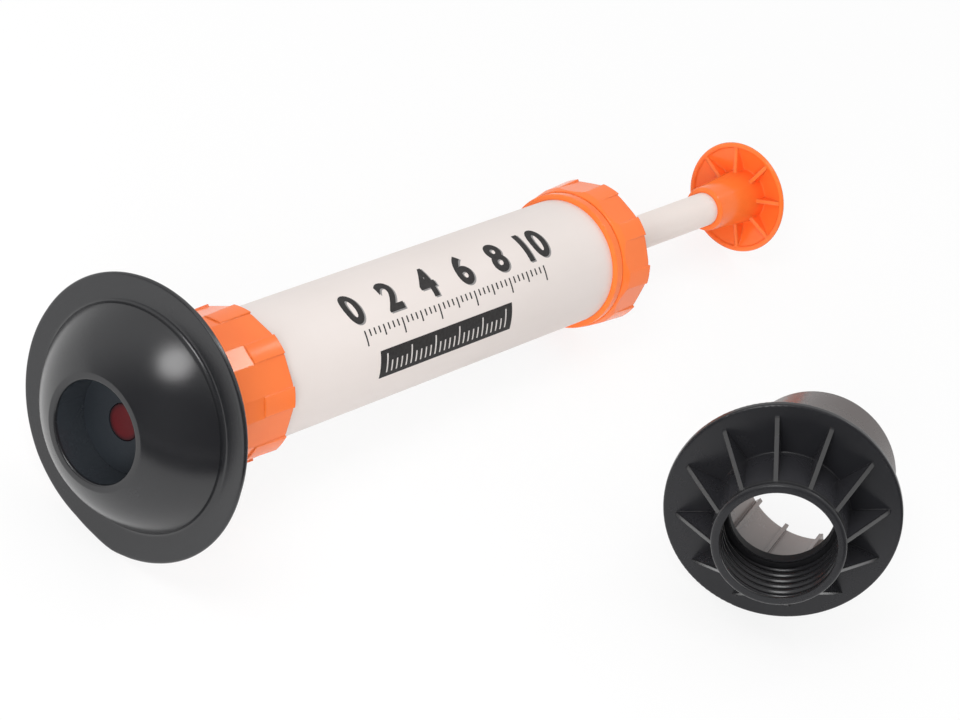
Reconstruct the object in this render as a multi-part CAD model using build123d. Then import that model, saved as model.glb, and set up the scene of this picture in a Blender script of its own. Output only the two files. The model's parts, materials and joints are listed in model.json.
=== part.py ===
from build123d import *
from math import asin, atan2, cos, degrees, hypot, radians, sin, sqrt, tan
import os

os.makedirs("parts", exist_ok=True)

# Hand pump for blocked drains, lying on the floor, with its loose pan adapter beside it.
# Stations run along the pump's axis in millimetres, from the front lip of the cup to the handle.
# A turn is an angle about that axis in degrees, from the top towards +Y.

# Clearances
seal_gap = 0.1          # radial, between a seal, bush or pin and what runs in it
pass_gap = 0.4          # radial, between pieces that only pass each other
face_gap = 0.2          # axial, between faces that turn or lift apart
bond_gap = 0.05         # radial, in a glued or pressed joint

# Barrel and the threaded sockets on its ends
barrel_r = 38.0
barrel_wall = 3.0
barrel_length = 363.5
socket_wall = 2.1
lip_length = 6.0        # smooth lip of the rear socket
lip_rise = 1.3
lip_seam = 0.5          # open seam between that lip and the rear cap
lip_step = 0.5          # step up from that lip to the front of the rear cap

# Screw caps
cap_wall = 2.9
front_wall = 4.0
front_skirt = 44.8
rear_wall = 5.4
rear_skirt = 18.4
boss_length = 6.0       # round boss on the rear cap where the rod comes out
boss_wall = 3.7
front_gasket_t = 2.5
rear_gasket_t = 2.0

# Grip pads of the caps, with flats between them and, on the front cap, in front of them
pad_count = 9
pad_rise = 1.2          # at the rear end of a pad
front_pad_start = 0.4   # rise of the pads of the front cap at their front end
rear_pad_start = 0.1    # the same on the rear cap
pad_width = 15.5        # degrees
pad_rounding = 0.5
cap_rounding = 1.0
front_pad_length = 24.4
front_pad_turn = -21.0
rear_pad_length = 20.0
rear_pad_turn = 9.3
flat_depth = 0.5

# Spout, the threaded nose that carries the cup, and its valve
thread_core_r = 31.7
thread_rise = 1.3
thread_pitch = 6.4
thread_root_width = 3.6
thread_crest_width = 1.6
thread_sink = 0.4       # how far a thread ridge reaches into the wall that carries it
spout_reach = 39.2      # from the front cap to the face of the spout
spout_wall = 3.7
spout_face_t = 3.0
spout_flange_t = 4.0
outlet_r = 10.5
valve_t = 2.2
valve_seat = 6.5
slit_length = 14.0
slit_width = 0.4
retainer_t = 5.0
retainer_lap = 4.0

# Cup
mouth_depth = 21.0
seat_width = 3.3        # rubber seat in front of the edge of the spout
mouth_lip_width = 4.1
mouth_lip_rounding = 1.2
dome_height = 30.0
dome_base_r = 64.0
dome_wall = 4.0
dome_crease = 3.0
rim_r = 80.6
rim_t = 3.2
rim_flat = 1.7          # depth of the flat where the rubber rim bears on the floor
hub_wall = 3.9
hub_gap = 4.0           # from the hub of the cup to the front cap
ring_wall = 2.9
cup_seal_t = 1.6

# Rod and piston
rod_r = 10.6
rod_wall = 2.2
rod_shown = 116.5       # bare rod between the rear cap and the handle
bush_wall = 3.9
bush_length = 6.0
bush_flange_t = 2.0
bush_flange_rise = 3.4
wiper_setback = 0.8
nose_gap = 4.0          # from the piston to the spout when the rod is pushed home
piston_front_t = 10.0
piston_seal_t = 10.0
piston_back_t = 12.0
piston_spigot_r = 22.0
seal_groove_depth = 5.0
seal_lip_t = 3.0
band_length = 5.0
band_t = 1.7
rod_seat_depth = 5.0
bolt_r = 4.0
bolt_head_r = 6.5
bolt_head_t = 5.3
bolt_grip = 20.0
washer_r = 10.0
washer_t = 1.5
plug_length = 26.0

# Handle
handle_r = 35.8
handle_edge = 1.75      # edge radius of the rim
handle_reach = 38.1     # from the front of its cone to the rim
cone_wall = 3.3
cone_flare = 3.4
palm_rise = 11.5
palm_wall = 3.0
handle_end_wall = 6.0
rib_count = 8
rib_t = 2.4
rib_turn = -14.5
rib_drop = 2.8          # inner ends of the ribs stand this far in front of the rim
screw_r = 2.5
screw_head_r = 5.0
screw_head_t = 3.2
screw_grip = 18.0
palm_cap_r = 8.0
palm_cap_t = 2.2

# Pan adapter: collar, flange, gussets and a tube bent off the collar's axis
collar_length = 42.0
collar_wall = 3.6
collar_rounding = 2.0   # outer edge of its mouth
collar_lip = 2.0        # smooth lip at the mouth, as narrow as the thread
throat_r = 30.3
throat_length = 4.0
flange_r = 68.2
flange_t = 5.1
flange_back = 3.4       # behind the point where the collar's and the tube's axes meet
flange_edge = 1.4
gusset_count = 12
gusset_t = 2.6
gusset_r = 61.3
gusset_rise = 37.0
gusset_turn = -3.5
tube_r = 47.2
tube_wall = 3.4
tube_length = 85.7
tube_bend = 14.4        # degrees off the collar's axis
tube_bend_turn = -110.2
tube_stop_rise = 1.2    # shoulder at the root of the tube, square to it
tube_stop_land = 2.0    # length of that shoulder on the side where it is shortest
tube_rib_count = 12
tube_rib_rise = 3.2
tube_rib_t = 2.4
tube_rib_turn = -1.0
tube_nib = 1.2          # the ribs stand out of the end of the tube
adapter_seal_t = 2.0

# Place of the adapter on the floor, from the point below the lip of the cup
adapter_ahead = 349.8
adapter_aside = -225.3
adapter_yaw = 30.6

# Radii worked out from the sizes above
bore_r = barrel_r - barrel_wall
socket_r = barrel_r + bond_gap + socket_wall
cap_bore_r = socket_r + pass_gap
cap_r = cap_bore_r + cap_wall
pad_pitch = 360 / pad_count
gap_flat_r = cap_r * cos(radians(pad_pitch - pad_width) / 2)
thread_crest_r = thread_core_r + thread_rise
nut_crest_r = thread_crest_r + pass_gap
nut_root_r = nut_crest_r + thread_rise
mouth_r = thread_core_r - seat_width
ring_r = nut_root_r + ring_wall
hub_bore_r = ring_r + bond_gap
hub_r = hub_bore_r + hub_wall
spout_bore_r = thread_core_r - spout_wall
rod_bore_r = rod_r - rod_wall
bush_r = rod_r + seal_gap + bush_wall
boss_r = bush_r + bond_gap + boss_wall
cone_r = rod_r + bond_gap + cone_wall
collar_r = nut_root_r + collar_wall
tube_bore_r = tube_r - tube_wall

# Stations worked out from the sizes above
spout_face = mouth_depth + cup_seal_t + face_gap
front_cap_face = spout_face + spout_reach
spout_flange_at = front_cap_face + front_wall
front_gasket_at = spout_flange_at + spout_flange_t
barrel_front = front_gasket_at + front_gasket_t
barrel_back = barrel_front + barrel_length
front_skirt_end = spout_flange_at + front_skirt
rear_wall_at = barrel_back + rear_gasket_t
rear_skirt_end = rear_wall_at - rear_skirt
rear_face = rear_wall_at + rear_wall
boss_end = rear_face + boss_length
cone_front = boss_end + rod_shown
handle_rim = cone_front + handle_reach
piston_at = barrel_front + nose_gap + rod_shown
piston_seal_at = piston_at + piston_front_t
piston_back_at = piston_seal_at + piston_seal_t
piston_end = piston_back_at + piston_back_t
rod_front = piston_end - rod_seat_depth + face_gap
washer_at = piston_at + bolt_head_t + pass_gap
palm_top = handle_rim + palm_rise
palm_cap_at = palm_top - palm_cap_t
screw_head_at = palm_cap_at - screw_head_t
rod_back = screw_head_at - handle_end_wall
rim_mid = dome_height + rim_t / 2


def turned(*corners):
    # Solid of revolution; a corner is a station and a radius, with a rounding where it has one.
    points = [corner[:2] for corner in corners]
    roundings = [corner[2] if len(corner) > 2 else 0 for corner in corners]
    outline = FilletPolyline(*points, radius=roundings, close=True)
    return revolve(make_face(outline.edges()), Axis.X)


def tube(start, end, inner_r, outer_r, rounding=0):
    # Plain ring or tube, its outer edges rounded where a rounding is given.
    return turned((start, inner_r), (start, outer_r, rounding), (end, outer_r, rounding), (end, inner_r))


def around(part, count, turn):
    # Copies of a part that stands at the top, evenly spaced about the axis.
    return [Rot(X=-turn - 360 / count * step) * part for step in range(count)]


def ring_edge(part, station, radius):
    # The circular edge of a turned part nearest to a station and a radius.
    circles = part.edges().filter_by(GeomType.CIRCLE)
    return circles.sort_by(lambda edge: abs(edge.arc_center.X - station) + abs(edge.radius - radius))[0]


def sphere_arc(centre, radius, first_r, last_r, side):
    # Arc of the profile of a sphere centred on the axis; side is -1 before the centre and 1 behind it.
    def point(angle):
        return centre + side * radius * cos(angle), radius * sin(angle)
    first_angle = asin(first_r / radius)
    last_angle = asin(last_r / radius)
    return ThreePointArc(point(first_angle), point((first_angle + last_angle) / 2), point(last_angle))


def thread_ridge(start, end, root_r, crest_r):
    # Helical ridge that rises from a wall at root_r to crest_r, sunk a little into that wall.
    rise = crest_r - root_r
    sink = thread_sink if rise > 0 else -thread_sink
    path = Helix(thread_pitch, end - start, root_r, center=(start, 0, 0), direction=(1, 0, 0))
    first = path @ 0
    outward = first - Vector(start, 0, 0)
    section = Plane(origin=first, x_dir=outward, z_dir=path % 0) * Polygon(
        (-sink, -thread_root_width / 2),
        (rise, -thread_crest_width / 2),
        (rise, thread_crest_width / 2),
        (-sink, thread_root_width / 2),
        align=None,
    )
    return sweep(section, path=path, is_frenet=True)


def grip_pads(start, end, start_rise, turn):
    # Raised pads on a cap, higher towards the rear, each with its outer edges rounded.
    outline = Polyline((start, cap_r - pad_rise), (start, cap_r + start_rise),
                       (end, cap_r + pad_rise), (end, cap_r - pad_rise), close=True)
    pad = revolve(make_face(outline.edges()), Axis.X, revolution_arc=pad_width)
    pad = fillet(pad.faces().sort_by(lambda face: face.area)[-1].edges(), pad_rounding)
    return around(Rot(X=90 - pad_width / 2) * pad, pad_count, turn)


def cap_flats(start, end, flat_r, turn):
    # Slabs that cut a cap flat at flat_r from the axis.
    slab_t = cap_r + pad_rise - flat_r
    slab = Pos((start + end) / 2, 0, flat_r + slab_t / 2) * Box(end - start, cap_r, slab_t)
    return around(slab, pad_count, turn)


def make_front_cap():
    shell = turned(
        (front_cap_face, thread_crest_r + pass_gap),
        (front_cap_face, cap_r, cap_rounding),
        (front_skirt_end, cap_r, pad_rounding),
        (front_skirt_end, cap_bore_r),
        (spout_flange_at, cap_bore_r),
        (spout_flange_at, thread_crest_r + pass_gap),
    )
    pads_start = front_skirt_end - front_pad_length
    shell -= cap_flats(front_cap_face, pads_start, cap_r - flat_depth, front_pad_turn)
    shell -= cap_flats(front_cap_face, front_skirt_end, gap_flat_r, front_pad_turn + pad_pitch / 2)
    return shell + grip_pads(pads_start, front_skirt_end, front_pad_start, front_pad_turn)


def make_rear_cap():
    pads_start = rear_face - rear_pad_length
    shell = turned(
        (rear_skirt_end, cap_bore_r),
        (rear_skirt_end, socket_r + lip_rise + lip_step, pad_rounding),
        (pads_start, cap_r),
        (rear_face, cap_r, cap_rounding),
        (rear_face, boss_r),
        (boss_end, boss_r, cap_rounding),
        (boss_end, bush_r + bond_gap),
        (rear_wall_at, bush_r + bond_gap),
        (rear_wall_at, cap_bore_r),
    )
    shell -= cap_flats(rear_skirt_end, rear_face, gap_flat_r, rear_pad_turn + pad_pitch / 2)
    return shell + grip_pads(pads_start, rear_face, rear_pad_start, rear_pad_turn)


def make_rear_socket():
    lip_end = rear_skirt_end - lip_seam
    return turned(
        (lip_end - lip_length, barrel_r + bond_gap),
        (lip_end - lip_length, socket_r + lip_rise, pad_rounding),
        (lip_end, socket_r + lip_rise, pad_rounding),
        (lip_end, socket_r),
        (barrel_back, socket_r),
        (barrel_back, barrel_r + bond_gap),
    )


def make_spout():
    spout = turned(
        (spout_face, outlet_r),
        (spout_face, thread_core_r, cap_rounding),
        (spout_flange_at, thread_core_r),
        (spout_flange_at, cap_bore_r - pass_gap),
        (front_gasket_at, cap_bore_r - pass_gap),
        (front_gasket_at, spout_bore_r),
        (spout_face + spout_face_t, spout_bore_r),
        (spout_face + spout_face_t, outlet_r),
    )
    return spout + thread_ridge(spout_face + thread_pitch, front_cap_face - thread_pitch,
                                thread_core_r, thread_crest_r)


def make_outlet_valve():
    # Disc behind the spout's wall, with a boss that fills the outlet, and two crossed slits through both.
    start = spout_face + spout_face_t
    disc = tube(start, start + valve_t, 0, outlet_r + valve_seat)
    disc += tube(spout_face + face_gap, start, 0, outlet_r - pass_gap)
    slit = Pos(start) * Box(2 * (spout_face_t + valve_t), slit_width, slit_length)
    return disc - slit - Rot(X=90) * slit


def make_valve_retainer():
    start = spout_face + spout_face_t + valve_t
    return tube(start, start + retainer_t, outlet_r + valve_seat - retainer_lap, spout_bore_r - bond_gap)


def make_cup():
    # Spherical dome from the lip of the mouth to the flange, with a hub behind it for the spout.
    lip_r = mouth_r + mouth_lip_width
    centre = (dome_height**2 + dome_base_r**2 - lip_r**2) / (2 * dome_height)
    outer = hypot(centre, lip_r)
    inner = outer - dome_wall
    rim_back = dome_height + rim_t
    inner_base_r = sqrt(inner**2 - (centre - rim_back)**2)
    hub_front = centre - sqrt(inner**2 - hub_r**2)
    hub_end = front_cap_face - hub_gap
    front = Polyline((mouth_depth, mouth_r), (0, mouth_r), (0, lip_r))
    dome = sphere_arc(centre, outer, lip_r, dome_base_r, -1)
    flange = Line((dome_height, dome_base_r), (dome_height, rim_r - rim_t / 2))
    edge = ThreePointArc((dome_height, rim_r - rim_t / 2), (rim_mid, rim_r), (rim_back, rim_r - rim_t / 2))
    behind = Line((rim_back, rim_r - rim_t / 2), (rim_back, inner_base_r))
    hollow = sphere_arc(centre, inner, inner_base_r, hub_r, -1)
    hub = Polyline((hub_front, hub_r), (hub_end, hub_r), (hub_end, hub_bore_r),
                   (mouth_depth, hub_bore_r), (mouth_depth, mouth_r))
    outline = front.edges() + dome.edges() + flange.edges() + edge.edges() + behind.edges()
    outline += hollow.edges() + hub.edges()
    cup = revolve(make_face(outline), Axis.X)
    cup = fillet(ring_edge(cup, dome_height, dome_base_r), dome_crease)
    cup = fillet(ring_edge(cup, rim_back, inner_base_r), dome_crease)
    cup = fillet(ring_edge(cup, hub_front, hub_r), dome_crease)
    cup = fillet(ring_edge(cup, 0, lip_r), mouth_lip_rounding)
    return fillet(ring_edge(cup, 0, mouth_r), mouth_lip_rounding)


def make_cup_ring():
    hub_end = front_cap_face - hub_gap
    ring = tube(mouth_depth, hub_end, nut_root_r, ring_r)
    return ring + thread_ridge(mouth_depth + thread_pitch, hub_end - thread_pitch, nut_root_r, nut_crest_r)


def make_piston_front():
    return turned(
        (piston_at, washer_r + pass_gap),
        (piston_at, bore_r - pass_gap, cap_rounding),
        (piston_seal_at, bore_r - pass_gap),
        (piston_seal_at, bolt_r + seal_gap),
        (washer_at + washer_t + face_gap, bolt_r + seal_gap),
        (washer_at + washer_t + face_gap, washer_r + pass_gap),
    )


def make_piston_seal():
    # Rubber cup seal with a groove in its front face, which leaves a lip on the barrel.
    groove_top = bore_r - seal_gap - seal_lip_t
    groove_floor = piston_spigot_r + seal_lip_t
    return turned(
        (piston_seal_at, piston_spigot_r + bond_gap),
        (piston_seal_at, groove_floor),
        (piston_seal_at + seal_groove_depth, (groove_floor + groove_top) / 2),
        (piston_seal_at, groove_top),
        (piston_seal_at, bore_r - seal_gap),
        (piston_back_at, bore_r - seal_gap),
        (piston_back_at, piston_spigot_r + bond_gap),
    )


def make_piston_back():
    groove_r = bore_r - seal_gap - band_t - bond_gap
    groove_start = piston_back_at + (piston_back_t - band_length) / 2
    plate = turned(
        (piston_seal_at, bolt_r + seal_gap),
        (piston_seal_at, piston_spigot_r),
        (piston_back_at, piston_spigot_r),
        (piston_back_at, bore_r - pass_gap),
        (piston_end, bore_r - pass_gap, cap_rounding),
        (piston_end, rod_r + pass_gap),
        (piston_end - rod_seat_depth, rod_r + pass_gap),
        (piston_end - rod_seat_depth, bolt_r + seal_gap),
    )
    return plate - tube(groove_start, groove_start + band_length, groove_r, bore_r)


def make_piston_band():
    groove_start = piston_back_at + (piston_back_t - band_length) / 2
    return tube(groove_start + bond_gap, groove_start + band_length - bond_gap,
                bore_r - seal_gap - band_t, bore_r - seal_gap)


def make_piston_bolt():
    # Hexagon head, and a shank through the piston into the plug in the rod.
    head_at = washer_at - bolt_head_t
    hexagon = RegularPolygon(bolt_head_r, 6, major_radius=False)
    head = Plane.YZ.offset(head_at) * extrude(hexagon, bolt_head_t)
    return head + tube(head_at, rod_front + bolt_grip, 0, bolt_r)


def make_rod_plug():
    # Plug in the front end of the rod, with a blind hole for the bolt.
    plug = tube(rod_front, rod_front + plug_length, 0, rod_bore_r - bond_gap)
    return plug - tube(rod_front, rod_front + bolt_grip + bond_gap, 0, bolt_r + bond_gap)


def make_handle_plug():
    # Plug in the rear end of the rod, with a blind hole for the screw.
    plug = tube(rod_back - plug_length, rod_back, 0, rod_bore_r - bond_gap)
    return plug - tube(rod_back - screw_grip - bond_gap, rod_back, 0, screw_r + bond_gap)


def make_handle():
    # Cone over the rod, a hollow disc with a domed palm side, and ribs that join the two.
    palm_sphere = (handle_r**2 + palm_rise**2) / (2 * palm_rise)
    palm_centre = palm_top - palm_sphere
    hollow_r = handle_r - 2 * handle_edge
    hollow_rise = palm_rise - palm_wall
    hollow_sphere = (hollow_r**2 + hollow_rise**2) / (2 * hollow_rise)
    hollow_centre = palm_top - palm_wall - hollow_sphere
    foot_r = cone_r + cone_flare
    hollow = sphere_arc(hollow_centre, hollow_sphere, foot_r, hollow_r, 1)
    edge = ThreePointArc((handle_rim, hollow_r), (handle_rim - handle_edge, handle_r - handle_edge),
                         (handle_rim, handle_r))
    palm = sphere_arc(palm_centre, palm_sphere, handle_r, 0, 1)
    cone = Polyline((palm_top, 0), (cone_front, 0), (cone_front, cone_r), hollow @ 0)
    body = revolve(make_face(hollow.edges() + edge.edges() + palm.edges() + cone.edges()), Axis.X)
    body = fillet(ring_edge(body, cone_front, cone_r), cap_rounding)
    rib_end_r = hollow_r + handle_edge
    rib_outline = Polyline((handle_rim - rib_drop, 0, cone_r), (handle_rim - handle_edge / 2, 0, rib_end_r),
                           (palm_top, 0, rib_end_r), (palm_top, 0, cone_r), close=True)
    rib = extrude(make_face(rib_outline.edges()), rib_t / 2, both=True)
    rib &= Pos(hollow_centre) * Sphere(hollow_sphere + palm_wall / 2)
    body += around(rib, rib_count, rib_turn)
    body -= tube(cone_front, rod_back, 0, rod_r + bond_gap)
    body -= tube(rod_back, screw_head_at, 0, screw_r + bond_gap)
    body -= tube(screw_head_at, palm_cap_at, 0, screw_head_r + pass_gap)
    return body - tube(palm_cap_at, palm_top, 0, palm_cap_r + bond_gap)


def make_palm_cap():
    palm_sphere = (handle_r**2 + palm_rise**2) / (2 * palm_rise)
    cover = tube(palm_cap_at, palm_top, 0, palm_cap_r)
    return cover & (Pos(palm_top - palm_sphere) * Sphere(palm_sphere))


def make_handle_screw():
    shank = tube(rod_back - screw_grip, screw_head_at, 0, screw_r)
    return shank + tube(screw_head_at, screw_head_at + screw_head_t, 0, screw_head_r)


def make_rod_bush():
    return turned(
        (rear_wall_at - bush_flange_t, rod_r + seal_gap),
        (rear_wall_at - bush_flange_t, bush_r + bush_flange_rise),
        (rear_wall_at, bush_r + bush_flange_rise),
        (rear_wall_at, bush_r),
        (rear_wall_at + bush_length, bush_r),
        (rear_wall_at + bush_length, rod_r + seal_gap),
    )


# The adapter is modelled about its collar's axis, which the tube's axis meets in the flange, at station 0.
flange_front = flange_back - flange_t
bend = radians(tube_bend)
bend_turn = radians(tube_bend_turn)
tube_way = Vector(cos(bend), sin(bend) * sin(bend_turn), sin(bend) * cos(bend_turn))
tube_top = Vector(0, 0, 1) - tube_way * tube_way.Z
tube_stop_r = tube_r + tube_stop_rise
tube_stop = flange_back / cos(bend) + tube_stop_r * tan(bend) + tube_stop_land
tube_plane = Plane(origin=(0, 0, 0), x_dir=tube_top, z_dir=tube_way)


def make_adapter():
    body = turned(
        (-collar_length, nut_crest_r),
        (-collar_length, collar_r, collar_rounding),
        (flange_front, collar_r, cap_rounding),
        (flange_front, flange_r, flange_edge),
        (flange_back, flange_r, flange_edge),
        (flange_back, throat_r),
        (-throat_length, throat_r),
        (-throat_length, nut_root_r),
        (collar_lip - collar_length, nut_root_r),
        (collar_lip - collar_length, nut_crest_r),
    )
    collar_mid_r = (nut_root_r + collar_r) / 2
    gusset_outline = Polyline((0, 0, collar_mid_r), (0, 0, gusset_r), (flange_front, 0, gusset_r),
                              (-gusset_rise, 0, collar_r), (-gusset_rise, 0, collar_mid_r), close=True)
    gusset = extrude(make_face(gusset_outline.edges()), gusset_t / 2, both=True)
    body += around(gusset, gusset_count, gusset_turn)
    # The tube and its ribs start inside the flange, square to the bent axis at their far end.
    from_axis = (Align.MIN, Align.CENTER, Align.CENTER)
    flange_side = Pos(flange_back / 2) * Box(2 * tube_length, 4 * tube_r, 4 * tube_r, align=from_axis)
    long_tube = tube_plane * Cylinder(tube_r, 2 * tube_length)
    long_bore = tube_plane * Cylinder(tube_bore_r, 2 * tube_length)
    far_side = tube_plane * Pos(0, 0, 2 * tube_length) * Box(4 * tube_r, 4 * tube_r, 2 * tube_length)
    shoulder = tube_plane * Cylinder(tube_stop_r, 2 * tube_stop)
    body += (long_tube - far_side + shoulder - long_bore) & flange_side
    rib_depth = tube_rib_rise + tube_wall / 2
    from_inside = (Align.MIN, Align.CENTER, Align.MIN)
    rib = Box(rib_depth, tube_rib_t, tube_length + tube_nib, align=from_inside)
    rib = Pos(tube_bore_r - tube_rib_rise) * rib
    rib_pitch = 360 / tube_rib_count
    for step in range(tube_rib_count):
        body += (tube_plane * Rot(Z=-tube_rib_turn - rib_pitch * step) * rib) & flange_side
    thread_start = thread_pitch - collar_length
    thread_end = -throat_length - adapter_seal_t - thread_pitch / 2
    return body + thread_ridge(thread_start, thread_end, nut_root_r, nut_crest_r)


def make_adapter_seal():
    return tube(-throat_length - adapter_seal_t, -throat_length, throat_r + pass_gap, nut_root_r - pass_gap)


def adapter_dip():
    # Angle by which the collar's axis dips when the flange's edge and the tube's end both touch the floor.
    def heights(dip):
        flange_low = (flange_r - flange_edge) * cos(dip) + (flange_back - flange_edge) * sin(dip) + flange_edge
        slope = tube_way.Z * cos(dip) - tube_way.X * sin(dip)
        tube_low = tube_r * sqrt(1 - slope**2) - tube_length * slope
        return flange_low, tube_low
    low, high = 0, radians(60)
    for _ in range(50):
        middle = (low + high) / 2
        flange_low, tube_low = heights(middle)
        if tube_low < flange_low:
            low = middle
        else:
            high = middle
    return low, heights(low)[0]


# The pump lies on the rim of its cup and on the rim of its handle.
rim_edge = rim_t / 2
rim_drop = (rim_r - rim_edge) - (handle_r - handle_edge)
rim_run = handle_rim - rim_mid
tilt = atan2(rim_drop, rim_run) + asin((rim_edge - handle_edge - rim_flat) / hypot(rim_drop, rim_run))
lip_height = rim_mid * sin(tilt) + (rim_r - rim_edge) * cos(tilt) + rim_edge - rim_flat
pump_place = Pos(0, 0, lip_height) * Rot(Y=degrees(tilt))
dip, flange_height = adapter_dip()
adapter_place = Pos(adapter_ahead, adapter_aside, flange_height) * Rot(Z=adapter_yaw) * Rot(Y=degrees(dip))

pump_pieces = {
    "barrel": tube(barrel_front, barrel_back, bore_r, barrel_r),
    "front_socket": tube(barrel_front, front_skirt_end - face_gap, barrel_r + bond_gap, socket_r),
    "front_cap": make_front_cap(),
    "front_gasket": tube(front_gasket_at, barrel_front, bore_r, socket_r),
    "spout": make_spout(),
    "outlet_valve": make_outlet_valve(),
    "valve_retainer": make_valve_retainer(),
    "rear_socket": make_rear_socket(),
    "rear_cap": make_rear_cap(),
    "rear_gasket": tube(barrel_back, rear_wall_at, bore_r, socket_r),
    "rod_bush": make_rod_bush(),
    "rod_wiper": tube(rear_wall_at + bush_length, boss_end - wiper_setback, rod_r + seal_gap, bush_r),
    "cup": make_cup(),
    "cup_ring": make_cup_ring(),
    "cup_seal": tube(mouth_depth, mouth_depth + cup_seal_t, mouth_r + pass_gap, nut_root_r - pass_gap),
    "piston_front": make_piston_front(),
    "piston_seal": make_piston_seal(),
    "piston_back": make_piston_back(),
    "piston_band": make_piston_band(),
    "piston_bolt": make_piston_bolt(),
    "piston_washer": tube(washer_at, washer_at + washer_t, bolt_r + bond_gap, washer_r),
    "rod": tube(rod_front, rod_back, rod_bore_r, rod_r),
    "rod_plug": make_rod_plug(),
    "handle": make_handle(),
    "handle_plug": make_handle_plug(),
    "handle_screw": make_handle_screw(),
    "palm_cap": make_palm_cap(),
}
adapter_pieces = {
    "adapter": make_adapter(),
    "adapter_seal": make_adapter_seal(),
}

# The floor flattens the soft rim, and the origin is on the floor in the middle of the whole outline.
placed = {name: pump_place * piece for name, piece in pump_pieces.items()}
placed.update({name: adapter_place * piece for name, piece in adapter_pieces.items()})
placed["cup"] -= Pos(0, 0, -rim_r) * Box(4 * rim_r, 4 * rim_r, 2 * rim_r)
outline_box = Compound(children=[Compound(piece.solids()) for piece in placed.values()]).bounding_box()
middle = Pos(-outline_box.center().X, -outline_box.center().Y, 0)
for name, piece in placed.items():
    solid = middle * piece
    solid.label = name
    export_step(solid, f"parts/{name}.step")


def told(name, place, station):
    # Prints a point on an axis in metres, for the joints and mounts.
    point = (middle * place * Pos(station)).position / 1000
    print(f"{name}: {point.X:.6f} {point.Y:.6f} {point.Z:.6f}")


told("cup lip", pump_place, 0)
told("mouth floor", pump_place, mouth_depth)
told("rod turn", pump_place, rod_front)
told("palm", pump_place, palm_top)
told("adapter collar", adapter_place, -collar_length)
told("adapter throat", adapter_place, 0)
told("adapter flange back", adapter_place, flange_back)
told("adapter tube", adapter_place * tube_plane.location * Rot(Y=-90), (tube_stop + tube_length) / 2)
print("adapter tube wall", tube_length - tube_stop)
print(f"tilt {degrees(tilt):.4f}, adapter dip {degrees(dip):.4f}")
print("outline", outline_box.size, "lowest", outline_box.min.Z)
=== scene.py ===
import json
import bmesh
import bpy
import numpy as np
from mathutils import Matrix, Vector


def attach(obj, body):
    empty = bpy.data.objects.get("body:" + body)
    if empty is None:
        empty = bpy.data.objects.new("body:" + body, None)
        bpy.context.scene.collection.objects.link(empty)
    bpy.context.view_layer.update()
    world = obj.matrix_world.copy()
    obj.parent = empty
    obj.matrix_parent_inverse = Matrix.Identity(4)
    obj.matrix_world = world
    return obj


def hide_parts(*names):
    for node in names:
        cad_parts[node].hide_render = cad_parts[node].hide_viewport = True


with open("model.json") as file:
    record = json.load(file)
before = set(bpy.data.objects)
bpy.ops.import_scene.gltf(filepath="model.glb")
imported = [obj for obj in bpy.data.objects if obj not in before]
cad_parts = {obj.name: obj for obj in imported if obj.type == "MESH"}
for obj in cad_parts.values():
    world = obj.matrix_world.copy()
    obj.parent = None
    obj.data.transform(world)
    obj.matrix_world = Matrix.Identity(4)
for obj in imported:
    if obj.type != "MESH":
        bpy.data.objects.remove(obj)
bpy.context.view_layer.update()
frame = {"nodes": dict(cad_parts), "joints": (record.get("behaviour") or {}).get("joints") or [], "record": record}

scene = bpy.context.scene
scene.view_settings.view_transform = "Standard"
nodes = frame["nodes"]
joints = {joint["name"]: joint for joint in frame["joints"]}
mounts = {mount["name"]: mount for mount in frame["record"]["mounts"]}
print("frame loaded:", len(nodes), "nodes")


def unit(vector):
    return np.array(vector, float) / np.linalg.norm(vector)


def axisFrame(start, along, level):
    # An axis to turn things about: its start, its direction, the side that turns go to and the top.
    along, level = unit(along), unit(level)
    return {"start": np.array(start), "along": along, "across": level, "up": np.cross(along, level)}


# Stations run from the lip of the cup or of the adapter's collar, turns go from the top towards +Y.
places = {"mouthStation": 0.0111}        # middle of the mouth's wall behind the lip of the cup
pumpAlong = unit(joints["rod_slide"]["axis"])
pump = axisFrame(np.array(mounts["cup_mouth"]["pos_m"]) - places["mouthStation"] * pumpAlong,
                 pumpAlong, (0, 1, 0))
collarAlong = -unit(mounts["adapter_thread"]["axis"])
collar = axisFrame(mounts["adapter_thread"]["pos_m"], collarAlong, np.cross((0, 0, 1), collarAlong))
tubeAlong = unit(mounts["adapter_tube"]["axis"])
adapterTube = axisFrame(mounts["adapter_tube"]["pos_m"], tubeAlong, np.cross((0, 0, 1), tubeAlong))


def fullTurn(count):
    return np.linspace(0, 2 * np.pi, count, endpoint=False)


def onAxis(axis, station, radius, turn):
    # point = start + station along the axis + radius turned about it
    return (axis["start"] + station[..., None] * axis["along"]
            + (radius * np.sin(turn))[..., None] * axis["across"]
            + (radius * np.cos(turn))[..., None] * axis["up"])


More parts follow.
